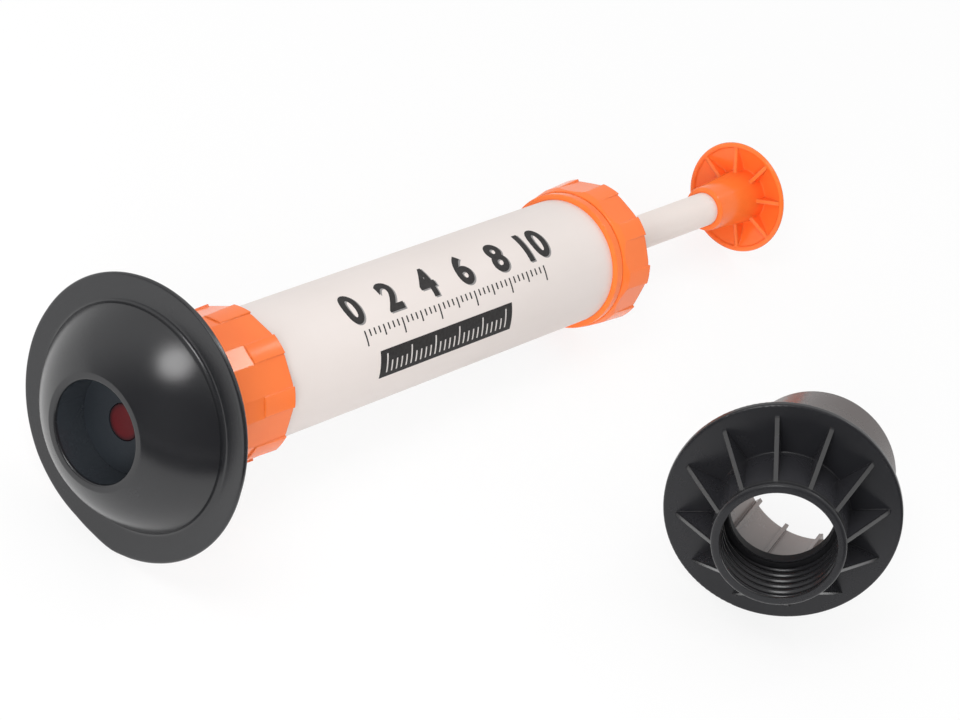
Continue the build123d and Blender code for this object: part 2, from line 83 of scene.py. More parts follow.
def roundedPath(corners, steps=6, tiny=1e-9, same=1e-6):
    # Closed outline of (x, y, rounding) corners, each turned into an arc that touches both its sides:
    # the arc starts rounding * tan(half the turn) before the corner and ends as far behind it.
    path = np.array(corners, float)
    here = path[:, :2]
    back = np.roll(here, 1, axis=0) - here
    ahead = np.roll(here, -1, axis=0) - here
    back = back / np.linalg.norm(back, axis=1, keepdims=True)
    ahead = ahead / np.linalg.norm(ahead, axis=1, keepdims=True)
    halfOpen = np.arccos(np.clip((back * ahead).sum(1), -1, 1)) / 2
    reach = path[:, 2] / np.tan(halfOpen)
    middle = back + ahead
    middle = middle / np.maximum(np.linalg.norm(middle, axis=1, keepdims=True), tiny)
    centre = here + middle * (path[:, 2] / np.sin(halfOpen))[:, None]
    first = here + back * reach[:, None] - centre
    last = here + ahead * reach[:, None] - centre
    sweep = np.arctan2(first[:, 0] * last[:, 1] - first[:, 1] * last[:, 0], (first * last).sum(1))
    angle = np.linspace(0, 1, steps) * sweep[:, None]
    arcX = first[:, :1] * np.cos(angle) - first[:, 1:] * np.sin(angle)
    arcY = first[:, :1] * np.sin(angle) + first[:, 1:] * np.cos(angle)
    points = np.stack([arcX, arcY], axis=-1) + centre[:, None, :]
    points = points.reshape(-1, 2)
    apart = np.linalg.norm(points - np.roll(points, 1, axis=0), axis=1) > same
    return points[apart]


def finer(points, longest):
    # Closed outline with its long sides divided, so that no step is longer than that.
    nextPoint = np.roll(points, -1, axis=0)
    counts = np.ceil(np.linalg.norm(nextPoint - points, axis=1) / longest).astype(int)
    owner = np.repeat(np.arange(len(points)), counts)
    step = np.arange(counts.sum()) - np.repeat(np.cumsum(counts) - counts, counts)
    share = (step / counts[owner])[:, None]
    return points[owner] * (1 - share) + nextPoint[owner] * share


def linked(name, data):
    made = bpy.data.objects.new(name, data)
    scene.collection.objects.link(made)
    return made


def gridPiece(name, points, wrapRows=True, wrapColumns=True):
    # Surface on a grid of points, one quad for each cell, closed where a direction wraps.
    rows, columns = points.shape[:2]
    index = np.arange(rows * columns).reshape(rows, columns)
    if wrapRows:
        index = np.vstack([index, index[:1]])
    if wrapColumns:
        index = np.hstack([index, index[:, :1]])
    quads = np.stack([index[:-1, :-1], index[1:, :-1], index[1:, 1:], index[:-1, 1:]], axis=-1)
    mesh = bpy.data.meshes.new(name)
    mesh.from_pydata(points.reshape(-1, 3), [], quads.reshape(-1, 4).tolist(), shade_flat=False)
    return linked(name, mesh)


def outward(piece, mergeDistance=1e-6):
    # Merges the doubled points of a closed skin and turns its faces outwards.
    skin = bmesh.new()
    skin.from_mesh(piece.data)
    bmesh.ops.remove_doubles(skin, verts=skin.verts, dist=mergeDistance)
    bmesh.ops.recalc_face_normals(skin, faces=skin.faces)
    skin.to_mesh(piece.data)
    skin.free()
    return piece


class Wire:
    # A shader socket that takes part in Python sums; node() adds any other node.
    def __init__(self, tree, socket=None):
        self.tree = tree
        self.socket = socket

    def node(self, kind, settings=None, sockets=None, output=0):
        made = self.tree.nodes.new(kind)
        for name, value in (settings or {}).items():
            setattr(made, name, value)
        for name, value in (sockets or {}).items():
            if isinstance(value, Wire):
                self.tree.links.new(value.socket, made.inputs[name])
            else:
                made.inputs[name].default_value = value
        return Wire(self.tree, made.outputs[output] if len(made.outputs) else None)

    def maths(self, operation, first, second=0.0):
        return self.node("ShaderNodeMath", {"operation": operation}, {0: first, 1: second})

    def __add__(self, other):
        return self.maths("ADD", self, other)

    def __sub__(self, other):
        return self.maths("SUBTRACT", self, other)

    def __rsub__(self, other):
        return self.maths("SUBTRACT", other, self)

    def __mul__(self, other):
        return self.maths("MULTIPLY", self, other)


def noise(start, where, scale, detail=2.0, rough=0.5):
    return start.node("ShaderNodeTexNoise", {},
                      {"Vector": where, "Scale": scale, "Detail": detail, "Roughness": rough})


def between(start, value, low, high, fromLow, fromHigh):
    # Smooth step of a value between two limits, stretched to the outputs low and high.
    return start.node("ShaderNodeMapRange", {"interpolation_type": "SMOOTHSTEP"},
                      {"Value": value, "From Min": fromLow, "From Max": fromHigh,
                       "To Min": low, "To Max": high})


def rising(start, value, low, high):
    # 0 up to the lower limit, 1 from the upper one on
    return between(start, value, 0.0, 1.0, low, high)


def falling(start, value, low, high):
    # 1 up to the lower limit, 0 from the upper one on
    return between(start, value, 1.0, 0.0, low, high)


def blend(first, second, share):
    return first * share + second * (1 - share)


def overlaid(start, share, below, colour):
    # A plain colour laid over another by a share. Sockets 6 and 7 of the Mix node are the colours, and
    # output 2 is their mix.
    return start.node("ShaderNodeMix", {"data_type": "RGBA"},
                      {"Factor": share, 6: below, 7: (*colour, 1)}, output=2)


def tint(start, share, first, second):
    # two plain colours mixed by a share
    return overlaid(start, share, (*first, 1), second)


def bump(start, height, depth, normal=None):
    sockets = {"Height": height, "Distance": depth, "Strength": 1.0}
    if normal:
        sockets["Normal"] = normal
    return start.node("ShaderNodeBump", {}, sockets)


def dot(start, first, second):
    return start.node("ShaderNodeVectorMath", {"operation": "DOT_PRODUCT"}, {0: first, 1: second}, output=1)


def minus(start, first, second):
    return start.node("ShaderNodeVectorMath", {"operation": "SUBTRACT"}, {0: first, 1: second})


def scaled(start, direction, length):
    return start.node("ShaderNodeVectorMath", {"operation": "SCALE"}, {0: direction, "Scale": length})


edgeMask = {"samples": 6, "ends": (0.01, 0.2)}


def edges(start, width):
    # Normals rounded over at sharp edges, and a mask of those edges: 1 - cosine between both normals.
    soft = start.node("ShaderNodeBevel", {"samples": edgeMask["samples"]}, {"Radius": width})
    hard = start.node("ShaderNodeNewGeometry", output="Normal")
    return soft, rising(start, 1 - dot(start, soft, hard), *edgeMask["ends"])


def stretched(start, where, along, share):
    # Object coordinates squeezed along a direction, so that a noise on them runs as streaks that way.
    direction = tuple(along)
    return minus(start, where, scaled(start, direction, dot(start, where, direction) * (1 - share)))


def aboutAxis(start, where, axis):
    # Station along an axis and distance from it, as shader values.
    direction = tuple(axis["along"])
    reach = minus(start, where, tuple(axis["start"]))
    station = dot(start, reach, direction)
    away = minus(start, reach, scaled(start, direction, station))
    return station, start.node("ShaderNodeVectorMath", {"operation": "LENGTH"}, {0: away}, output=1)


def emptied(owner):
    # A material or a world with nothing in its node tree yet.
    owner.use_nodes = True
    owner.node_tree.nodes.clear()
    return owner, Wire(owner.node_tree)


def newFinish(name):
    material, start = emptied(bpy.data.materials.new(name))
    return material, start, start.node("ShaderNodeTexCoord", output="Object")


def endFinish(start, sockets):
    shader = start.node("ShaderNodeBsdfPrincipled", {}, sockets)
    start.node("ShaderNodeOutputMaterial", {}, {"Surface": shader})


# How noises are read: detail and roughness of the clouds, and the values between which clouds and gloss run.
grades = {"hard": {"noise": (3.0, 0.5), "cloud": (0.35, 0.7), "gloss": (0.3, 0.7)},
          "dusty": {"noise": (4.0, 0.6), "cloud": (0.4, 0.75), "gloss": (0.25, 0.75)},
          "small": {"noise": (3.0, 0.5), "cloud": (0.3, 0.7), "gloss": (0.3, 0.7)}}


def clouds(start, where, scale, grade):
    return rising(start, noise(start, where, scale, *grades[grade]["noise"]), *grades[grade]["cloud"])


def gloss(start, value, rough, grade):
    return between(start, value, *rough, *grades[grade]["gloss"])


# Pipes: noises are counted per metre and depths are metres. Both pipes share how far streaks are drawn out,
# how much clouds and streaks age the colour, and the share of the peel in the bump.
pipeLooks = {
    "barrelPipe": {"colour": (0.780, 0.712, 0.680), "aged": (0.752, 0.684, 0.648), "rough": (0.50, 0.58),
                   "cloud": 14.0, "streak": 220.0, "peel": 900.0},
    # the rod: a lighter copy of the barrel's white, painted light
    "rodPipeLit": {"colour": (0.848, 0.774, 0.728), "aged": (0.822, 0.746, 0.700), "rough": (0.46, 0.54),
                "cloud": 20.0, "streak": 320.0, "peel": 1100.0},
}
pipeSkin = {"streakDetail": 3.0, "drawn": 0.02, "cloudShare": 0.6, "streakShare": 0.1, "peelShare": 0.8,
            "depth": 0.00002, "ior": 1.5}


def whitePipe(name, look):
    # Extruded white pipe: faint clouds in the colour, drawing streaks along it, a fine orange peel.
    material, start, where = newFinish(name)
    cloud = clouds(start, where, look["cloud"], "hard")
    drawn = stretched(start, where, pump["along"], pipeSkin["drawn"])
    streak = noise(start, drawn, look["streak"], pipeSkin["streakDetail"])
    peel = noise(start, where, look["peel"])
    ageing = cloud * pipeSkin["cloudShare"] + streak * pipeSkin["streakShare"]
    endFinish(start, {
        "Base Color": tint(start, ageing, look["colour"], look["aged"]),
        "Roughness": gloss(start, streak, look["rough"], "hard"),
        "Normal": bump(start, blend(peel, streak, pipeSkin["peelShare"]), pipeSkin["depth"]),
        "IOR": pipeSkin["ior"],
    })
    return material


orangeLook = {"colour": (0.97, 0.198, 0.036), "deep": (0.95, 0.176, 0.031), "highlightAndWear": (0.97, 0.24, 0.06),
              "rough": (0.15, 0.21), "cloud": 22.0, "grain": 1400.0, "wave": 90.0, "highlightAndWearShare": 0.5,
              "grainGloss": 0.5, "waveShare": 0.8, "depth": 0.00005, "ior": 1.40,
              "capEdge": 0.0009, "handleEdge": 0.0018}


def orangePlastic(name, look, edgeWidth):
    # Moulded orange plastic: slow flow clouds, a slightly uneven gloss, a fine moulded skin, and lighter edges
    # that are partly wear and partly painted highlight.
    material, start, where = newFinish(name)
    cloud = clouds(start, where, look["cloud"], "hard")
    grain = noise(start, where, look["grain"])
    wave = noise(start, where, look["wave"])
    softEdge, edge = edges(start, edgeWidth)
    skin = tint(start, cloud, look["colour"], look["deep"])
    endFinish(start, {
        # lighter edges: partly edge wear, partly painted highlight
        "Base Color": overlaid(start, edge * look["highlightAndWearShare"], skin, look["highlightAndWear"]),
        "Roughness": gloss(start, blend(grain, cloud, look["grainGloss"]), look["rough"], "hard"),
        "Normal": bump(start, blend(wave, grain, look["waveShare"]), look["depth"], normal=softEdge),
        "IOR": look["ior"],
    })
    return material


cupLook = {"colour": (0.0100, 0.0103, 0.0118), "bloom": (0.0145, 0.0145, 0.0160), "rough": (0.22, 0.28),
           "cloud": 12.0, "grain": 1800.0, "speck": 420.0, "speckEnds": (0.80, 0.84), "cloudShare": 0.4,
           "speckShare": 0.4, "grainGloss": 0.4, "depth": 0.00003, "ior": 1.6,
           # the pocket of the mouth, painted lighter as painted light: radii between which it ends and stations
           # between which it starts
           "pocketLight": (0.031, 0.036, 0.042), "pocketR": (0.0284, 0.0287), "pocketFrom": (0.001, 0.003)}


def cupRubber(look):
    # Satin rubber: a dusty bloom in clouds, a fine grain, a few pale specks of dust and a greyer pocket that is
    # painted light.
    material, start, where = newFinish("cupRubber")
    cloud = clouds(start, where, look["cloud"], "dusty")
    grain = noise(start, where, look["grain"])
    speck = rising(start, noise(start, where, look["speck"], detail=0.0), *look["speckEnds"])
    station, radius = aboutAxis(start, where, pump)
    # painted light: the mouth's pocket is made paler
    pocketLight = falling(start, radius, *look["pocketR"]) * rising(start, station, *look["pocketFrom"])
    dust = cloud * look["cloudShare"] + speck * look["speckShare"]
    skin = tint(start, dust, look["colour"], look["bloom"])
    endFinish(start, {
        "Base Color": overlaid(start, pocketLight, skin, look["pocketLight"]),
        "Roughness": gloss(start, blend(grain, cloud, look["grainGloss"]), look["rough"], "dusty"),
        "Normal": bump(start, grain, look["depth"]),
        "IOR": look["ior"],
    })
    return material


adapterLook = {"colour": (0.0130, 0.0132, 0.0152), "scuffed": (0.0160, 0.0160, 0.0180),
               "rough": (0.24, 0.30), "cloud": 14.0, "grain": 1600.0, "grainGloss": 0.4,
               "depth": 0.00002, "ior": 1.43,
               # lighter edges and tops: partly edge wear, partly painted highlight
               "highlightAndWear": (0.041, 0.041, 0.042), "edge": 0.0006, "edgeShare": 0.1,
               # painted highlight on the gussets' tops, which lie on a cone: its radius in front and its rise for
               # each step along, the stations between which they start and end, and how far off the cone they fade
               "topR": 0.0383, "topRise": 0.6516, "topFrom": (0.003, 0.005), "topTo": (0.0388, 0.0398),
               "topFade": (0.0002, 0.0007),
               # painted light lifting the shaded hollows between the gussets, by how far they lie under the cone
               "paintedRecessLight": (0.030, 0.030, 0.034), "recessFade": (-0.0014, -0.0007),
               # the dull throat, painted shade: stations between which it starts and ends, radii between which it
               # fades
               "shade": (0.018, 0.018, 0.021), "throatFrom": (0.0338, 0.0348), "throatTo": (0.0452, 0.0462),
               "throatR": (0.0345, 0.0349), "throatDull": 0.4,
               # the tube: stations between which it starts, and radii between which its bore ends; the bore is
               # painted much lighter as painted light
               "tube": (0.060, 0.043, 0.039), "tubeFrom": (0.0458, 0.0478),
               "paintedBoreLight": (0.260, 0.205, 0.188), "boreR": (0.0440, 0.0446)}


def adapterPlastic(look):
    # Moulded black plastic with faint flow clouds and a fine skin: edges partly worn and partly painted highlight,
    # painted highlight on the gussets' tops, painted light in the hollows and the bore, a greyer tube, a dull
    # throat with painted shade.
    material, start, where = newFinish("adapterPlastic")
    station, radius = aboutAxis(start, where, collar)
    overTop = radius - (station - look["topFrom"][1]) * look["topRise"] - look["topR"]
    alongside = rising(start, station, *look["topFrom"]) * falling(start, station, *look["topTo"])
    paintedTopHighlight = alongside * falling(start, start.maths("ABSOLUTE", overTop), *look["topFade"])
    paintedRecessLight = alongside * falling(start, overTop, *look["recessFade"])
    throat = rising(start, station, *look["throatFrom"]) * falling(start, station, *look["throatTo"])
    throat = throat * falling(start, radius, *look["throatR"])
    onTube = rising(start, station, *look["tubeFrom"])
    tubeR = aboutAxis(start, where, adapterTube)[1]
    inTube = onTube * falling(start, tubeR, *look["boreR"])
    cloud = clouds(start, where, look["cloud"], "dusty")
    grain = noise(start, where, look["grain"])
    softEdge, edge = edges(start, look["edge"])
    skin = tint(start, cloud, look["colour"], look["scuffed"])
    # painted light in the shaded hollows between the gussets
    skin = overlaid(start, paintedRecessLight, skin, look["paintedRecessLight"])
    skin = overlaid(start, onTube, skin, look["tube"])
    # painted light in the tube's bore
    skin = overlaid(start, inTube, skin, look["paintedBoreLight"])
    # painted highlight on the gussets' tops, and edges partly worn and partly painted highlight
    skin = overlaid(start, start.maths("MAXIMUM", paintedTopHighlight, edge * look["edgeShare"]), skin, look["highlightAndWear"])
    shine = gloss(start, blend(grain, cloud, look["grainGloss"]), look["rough"], "dusty")
    endFinish(start, {
        # painted shade in the throat
        "Base Color": overlaid(start, throat, skin, look["shade"]),
        "Roughness": shine + throat * look["throatDull"],
        "Normal": bump(start, grain, look["depth"], normal=softEdge),
        "IOR": look["ior"],
    })
    return material


valveLook = {"colour": (0.086, 0.0056, 0.0082), "faded": (0.076, 0.0052, 0.0075),
             # the rim: darker towards the edge, painted shade
             "rim": (0.028, 0.0050, 0.0070), "rimFade": (0.0072, 0.0100), "rough": (0.5, 0.6),
             "cloud": 120.0, "grain": 1500.0, "depth": 0.00003, "ior": 1.36}


def valveRubber(look):
    # Dull red rubber that darkens towards its edge: painted shade from the wall of its hole.
    material, start, where = newFinish("valveRubber")
    rim = rising(start, aboutAxis(start, where, pump)[1], *look["rimFade"])
    cloud = clouds(start, where, look["cloud"], "small")
    grain = noise(start, where, look["grain"])
    face = tint(start, cloud, look["colour"], look["faded"])
    endFinish(start, {
        "Base Color": overlaid(start, rim, face, look["rim"]),
        "Roughness": gloss(start, grain, look["rough"], "small"),
        "Normal": bump(start, grain, look["depth"]),
        "IOR": look["ior"],
    })
    return material


plainSkin = {"metal": 0.0, "ior": 1.5}        # what a small look takes where it says nothing


def plainFinish(name, look):
    # Small pieces: two near colours in clouds, an uneven gloss and a fine grain.
    look = {**plainSkin, **look}
    material, start, where = newFinish(name)
    cloud = clouds(start, where, look["cloud"], "small")
    grain = noise(start, where, look["grain"])
    endFinish(start, {
        "Base Color": tint(start, cloud, look["colour"], look["second"]),
        "Roughness": gloss(start, grain, look["rough"], "small"),
        "Normal": bump(start, grain, look["depth"]),
        "Metallic": look["metal"],
        "IOR": look["ior"],
    })
    return material


smallLooks = {
    # the floor of the cup's mouth, painted lighter than the adapter: painted light in the pocket
    "spoutPlasticLit": {"colour": (0.0185, 0.022, 0.027), "second": (0.020, 0.024, 0.029), "rough": (0.6, 0.7),
                     "cloud": 30.0, "grain": 1500.0, "depth": 0.00002, "ior": 1.4},
    # a little lighter than the adapter: painted light on the ridges
    "threadPlastic": {"colour": (0.016, 0.016, 0.018), "second": (0.019, 0.019, 0.021),
                      "rough": (0.18, 0.24), "cloud": 30.0, "grain": 1500.0, "depth": 0.00001, "ior": 1.52},
    # near-black for the seals deep in the mouth and the collar: painted shade
    "shadeRubber": {"colour": (0.007, 0.007, 0.008), "second": (0.009, 0.009, 0.010), "rough": (0.65, 0.75),
                    "cloud": 120.0, "grain": 1500.0, "depth": 0.00003, "ior": 1.35},
    "sealRubber": {"colour": (0.035, 0.035, 0.036), "second": (0.05, 0.05, 0.05), "rough": (0.5, 0.65),
                   "cloud": 120.0, "grain": 1500.0, "depth": 0.00004},
    "bushPlastic": {"colour": (0.72, 0.70, 0.64), "second": (0.66, 0.64, 0.58), "rough": (0.35, 0.5),
                    "cloud": 90.0, "grain": 1500.0, "depth": 0.00003},
    "screwSteel": {"colour": (0.56, 0.56, 0.57), "second": (0.48, 0.48, 0.49), "rough": (0.25, 0.4),
                   "cloud": 200.0, "grain": 2500.0, "depth": 0.00002, "metal": 1.0},
    "printGrey": {"colour": (0.22, 0.21, 0.21), "second": (0.27, 0.26, 0.255), "rough": (0.4, 0.5),
                  "cloud": 500.0, "grain": 3000.0, "depth": 0.00001},
    "printPale": {"colour": (0.70, 0.66, 0.64), "second": (0.62, 0.58, 0.56), "rough": (0.35, 0.5),
                  "cloud": 500.0, "grain": 3000.0, "depth": 0.00001},
    "printInk": {"colour": (0.020, 0.018, 0.018), "second": (0.028, 0.026, 0.026), "rough": (0.55, 0.65),
                 "cloud": 500.0, "grain": 3000.0, "depth": 0.00001, "ior": 1.35},
}
finishes = {name: plainFinish(name, look) for name, look in smallLooks.items()}
finishes.update({name: whitePipe(name, look) for name, look in pipeLooks.items()})
finishes.update({"cupRubber": cupRubber(cupLook), "adapterPlastic": adapterPlastic(adapterLook),
                 "valveRubber": valveRubber(valveLook),
                 "orangePlastic": orangePlastic("orangePlastic", orangeLook, orangeLook["capEdge"]),
                 "handlePlastic": orangePlastic("handlePlastic", orangeLook, orangeLook["handleEdge"])})
slotFinish = {"white_plastic": "barrelPipe", "orange_plastic": "orangePlastic", "black_rubber": "cupRubber",
              "black_plastic": "adapterPlastic", "red_rubber": "valveRubber", "seal_rubber": "sealRubber",
              "bearing_plastic": "bushPlastic", "steel": "screwSteel"}
# The floor of the cup's mouth is duller than the adapter and painted lighter as painted light, the handle's
# edges are rounder than the caps', and the rod is painted lighter than the barrel as painted light.
nodeFinish = {"spout": "spoutPlasticLit", "handle": "handlePlastic", "rod": "rodPipeLit"}
for part in frame["record"]["subparts"]:
    target = nodes[part["node"]]
    target.data.materials.clear()
    target.data.materials.append(finishes[nodeFinish.get(part["node"], slotFinish[part["material_slot"]])])
print("finishes made:", len(finishes))


def dress(piece, finish, body, slotName, *replaced):
    piece.data.materials.append(finishes[finish])
    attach(piece, body)
    if replaced:
        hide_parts(*replaced)
    return piece


# Rubber cup, metres: a turned shell whose thin rim waves a little and lies flat on the floor.
cup = {"mouthDepth": 0.021, "mouthR": 0.0284, "lipR": 0.0325, "lipRound": 0.0014,
       # station and radius of the thin lip over the washer's edge
       "seatLip": (0.0228, 0.02875), "seatRound": 0.0001,
       "domeHeight": 0.030, "domeBase": 0.0645, "shoulder": (0.0268, 0.0636), "shoulderRound": 0.002,
       "wall": 0.004, "crease": 0.0026, "rimR": 0.0797, "rimT": 0.0032, "rimRound": 0.49,
       "hubR": 0.0416, "hubBore": 0.03770, "hubEnd": 0.058, "hubRound": 0.001, "widest": 0.0805,
       "columns": 256, "step": 0.0012, "creaseLift": 0.0022, "creaseSpread": 0.012,
       # slope of the flange to the front, and the turn and the width in degrees of the part that leans
       "dish": 0.115, "dishTurn": -62.0, "dishWidth": 95.0,
       # turn in degrees and how far the rim stands in or out there, in units of a millimetre
       "waveUnit": 0.001,
       "rimWave": ((-175, -0.2), (-164, 1.7), (-152, 1.0), (-140, 0.4), (-110, -0.4), (-80, -1.2),
                   (-45, 0.9), (-10, 1.8), (4, 1.0), (26, 0.0), (53, -0.6), (81, -1.3), (104, -1.0),
                   (130, -0.3), (145, 0.0), (163, -0.5), (175, -1.0))}


def sphereRun(centre, radius, firstR, lastR, count=40):
    # stations and radii along a sphere centred on the axis, from one radius to another
    angle = np.linspace(np.arcsin(firstR / radius), np.arcsin(lastR / radius), count)
    return np.stack([centre - radius * np.cos(angle), radius * np.sin(angle), 0 * angle], axis=1)


def makeCup():
    # Profile: mouth, lip, spherical dome with a short shoulder, flange, rim, hollow behind, hub and a thin
    # lip over the washer's edge, carried round the axis. The rim's wave grows with the square of the way out
    # over the flange, the floor presses the foot of the dome in by cos^2 of the turn from below, and the
    # flange leans forward by the dish times cos^2 of the way from its turn.
    shoulderAt, shoulderR = cup["shoulder"]
    centre = (shoulderAt**2 + shoulderR**2 - cup["lipR"]**2) / (2 * shoulderAt)
    outer = np.hypot(centre, cup["lipR"])
    inner = outer - cup["wall"]
    rimBack = cup["domeHeight"] + cup["rimT"]
    innerBase = np.sqrt(inner**2 - (centre - rimBack)**2)
    dome = sphereRun(centre, outer, cup["lipR"], shoulderR)
    hollow = sphereRun(centre, inner, innerBase, cup["hubR"])
    dome[0, 2] = cup["lipRound"]
    dome[-1, 2] = cup["shoulderRound"]
    hollow[0, 2] = hollow[-1, 2] = cup["crease"]
    rimRound = cup["rimT"] * cup["rimRound"]
    seatStation, seatR = cup["seatLip"]
    corners = np.vstack([
        [[seatStation, cup["mouthR"], cup["seatRound"]], [0, cup["mouthR"], cup["lipRound"]]],
        dome,
        [[cup["domeHeight"], cup["domeBase"], cup["crease"]],
         [cup["domeHeight"], cup["rimR"], rimRound], [rimBack, cup["rimR"], rimRound]],
        hollow,
        [[cup["hubEnd"], cup["hubR"], cup["hubRound"]], [cup["hubEnd"], cup["hubBore"], 0],
         [cup["mouthDepth"], cup["hubBore"], 0], [cup["mouthDepth"], seatR, 0], [seatStation, seatR, 0]],
    ])
    profile = finer(roundedPath(corners), cup["step"])
    turn = fullTurn(cup["columns"])
    station = np.repeat(profile[:, :1], len(turn), axis=1)
    radius = np.repeat(profile[:, 1:], len(turn), axis=1)
    turns = np.broadcast_to(turn, station.shape)
    wave = np.interp(np.degrees(turn), *zip(*cup["rimWave"]), period=360) * cup["waveUnit"]
    share = np.clip((radius - cup["domeBase"]) / (cup["rimR"] - cup["domeBase"]), 0, 1)
    radius = np.minimum(radius + wave * share**2, cup["widest"])
    beyond = radius - cup["domeBase"]
    pressed = np.clip(-np.cos(turns), 0, 1)**2 * np.exp(-(beyond / cup["creaseSpread"])**2)
    off = np.abs((np.degrees(turns) - cup["dishTurn"] + 180) % 360 - 180) / cup["dishWidth"]
    dish = cup["dish"] * np.cos(np.clip(off, 0, 1) * np.pi / 2)**2 * np.clip(beyond, 0, None)
    points = onAxis(pump, station - dish, radius - cup["creaseLift"] * pressed, turns)
    points[..., 2] = np.maximum(points[..., 2], 0)        # the floor flattens the rim
    return outward(gridPiece("cupSkin", points))


dress(makeCup(), "cupRubber", "cup", "black_rubber", "cup")
print("cup made")

# Rubber rings and the valve with its boss: corners of station, radius and rounding in metres.
softRings = {
    "outlet_valve": {"axis": pump, "finish": "valveRubber", "body": "pump", "slot": "red_rubber",
                     "corners": ((0.0230, 0, 0), (0.0230, 0.0101, 0.0004), (0.0258, 0.0101, 0),
                                 (0.0258, 0.0170, 0.0005), (0.0280, 0.0170, 0.0005), (0.0280, 0, 0))},
    "cup_seal": {"axis": pump, "finish": "shadeRubber", "body": "cup", "slot": "seal_rubber",
                 "corners": ((0.0210, 0.0288, 0.0005), (0.0210, 0.0343, 0.0005),
                             (0.0226, 0.0343, 0.0005), (0.0226, 0.0288, 0.0005))},
    "rod_wiper": {"axis": pump, "finish": "sealRubber", "body": "pump", "slot": "seal_rubber",
                  "corners": ((0.4440, 0.0107, 0.0006), (0.4440, 0.0146, 0.0006),
                              (0.4486, 0.0146, 0.0006), (0.4486, 0.0107, 0.0006))},
    "adapter_seal": {"axis": collar, "finish": "shadeRubber", "body": "adapter", "slot": "seal_rubber",
                     "corners": ((0.0360, 0.0307, 0.0006), (0.0360, 0.0343, 0.0006),
                                 (0.0380, 0.0343, 0.0006), (0.0380, 0.0307, 0.0006))},
}


def makeRing(name, ring, columns=128):
    # Rounded outline of stations and radii carried round the axis.
    profile = roundedPath(ring["corners"])
    turn = fullTurn(columns)
    station, turns = np.meshgrid(profile[:, 0], turn, indexing="ij")
    radius = np.repeat(profile[:, 1:], len(turn), axis=1)
    return outward(gridPiece(name, onAxis(ring["axis"], station, radius, turns)))


for ringNode, ring in softRings.items():
    dress(makeRing(ringNode + "Soft", ring), ring["finish"], ring["body"], ring["slot"], ringNode)
print("soft rings made:", len(softRings))

# Thread in the adapter's collar, metres: rounded ridges over the plain ones, sunk into the collar's wall.
thread = {"root": 0.0347, "crest": 0.0330, "sharp": 1.7, "sunk": 0.0354, "span": (0.0021, 0.0359),
          "fade": 0.0013, "first": 0.0064, "pitch": 0.0064, "rows": 136, "columns": 160}


def makeThread():
    # radius = root - rise * wave^sharp, with wave = (1 + cos(phase)) / 2, a phase of a full turn for each
    # pitch along plus the turn itself, and a rise that fades at both ends
    low, high = thread["span"]
    station = np.linspace(low, high, thread["rows"])[:, None]
    turn = fullTurn(thread["columns"])[None, :]
    ends = np.clip(np.minimum(station - low, high - station) / thread["fade"], 0, 1)
    rise = (thread["root"] - thread["crest"]) * ends
    phase = 2 * np.pi * (station - thread["first"]) / thread["pitch"] + turn
    inner = thread["root"] - rise * ((1 + np.cos(phase)) / 2)**thread["sharp"]
    buried = np.full((1, thread["columns"]), thread["sunk"])
    radius = np.vstack([buried, inner, buried])
    station = np.vstack([[[low]], station, [[high]]])
    return outward(gridPiece("threadSkin", onAxis(collar, *np.broadcast_arrays(station, radius, turn))))


dress(makeThread(), "threadPlastic", "adapter", "black_plastic")
print("thread made")

# Plain scale printed on the barrel: bold numbers with a grey edge, ticks, and a dark band with pale ticks.
# Metres, and degrees for turns and for the lengths of ticks.
scale = {"barrelR": 0.038, "sunk": 0.0002,
         # how far each print stands over the barrel
         "proud": {"edge": 0.00003, "numbers": 0.00007, "ticks": 0.00005, "band": 0.00005, "pale": 0.00009},
         "numbers": ("0", "2", "4", "6", "8", "10"), "first": 0.183, "pitch": 0.0332, "height": 0.0185,
         "figureShare": 0.7,        # of the font's size, the height of a figure
         "thick": 0.5,        # of the flat figures, only to tell their tops from their undersides
         "bold": 0.0009, "baseTurn": -25.0, "curveSteps": 6, "edgeShift": (0.0009, -0.0009),
         # strips that figures are cut into, spare cuts above and below, and how near a point lies on a cut
         "cut": 0.0008, "spareCuts": 4, "onCut": 1e-7, "same": 1e-6,
         "ticksEach": 8, "tickTurn": -33.0, "tickLengths": (13.5, 9.5, 6.0), "tickWidth": 0.0011,
         "band": (0.192, 0.313, -79.0, -54.0), "paleCount": 26, "paleEach": 5, "paleMargin": 0.006,
         "paleTurn": -75.0, "paleLengths": (17.0, 10.0), "paleWidth": 0.0011}


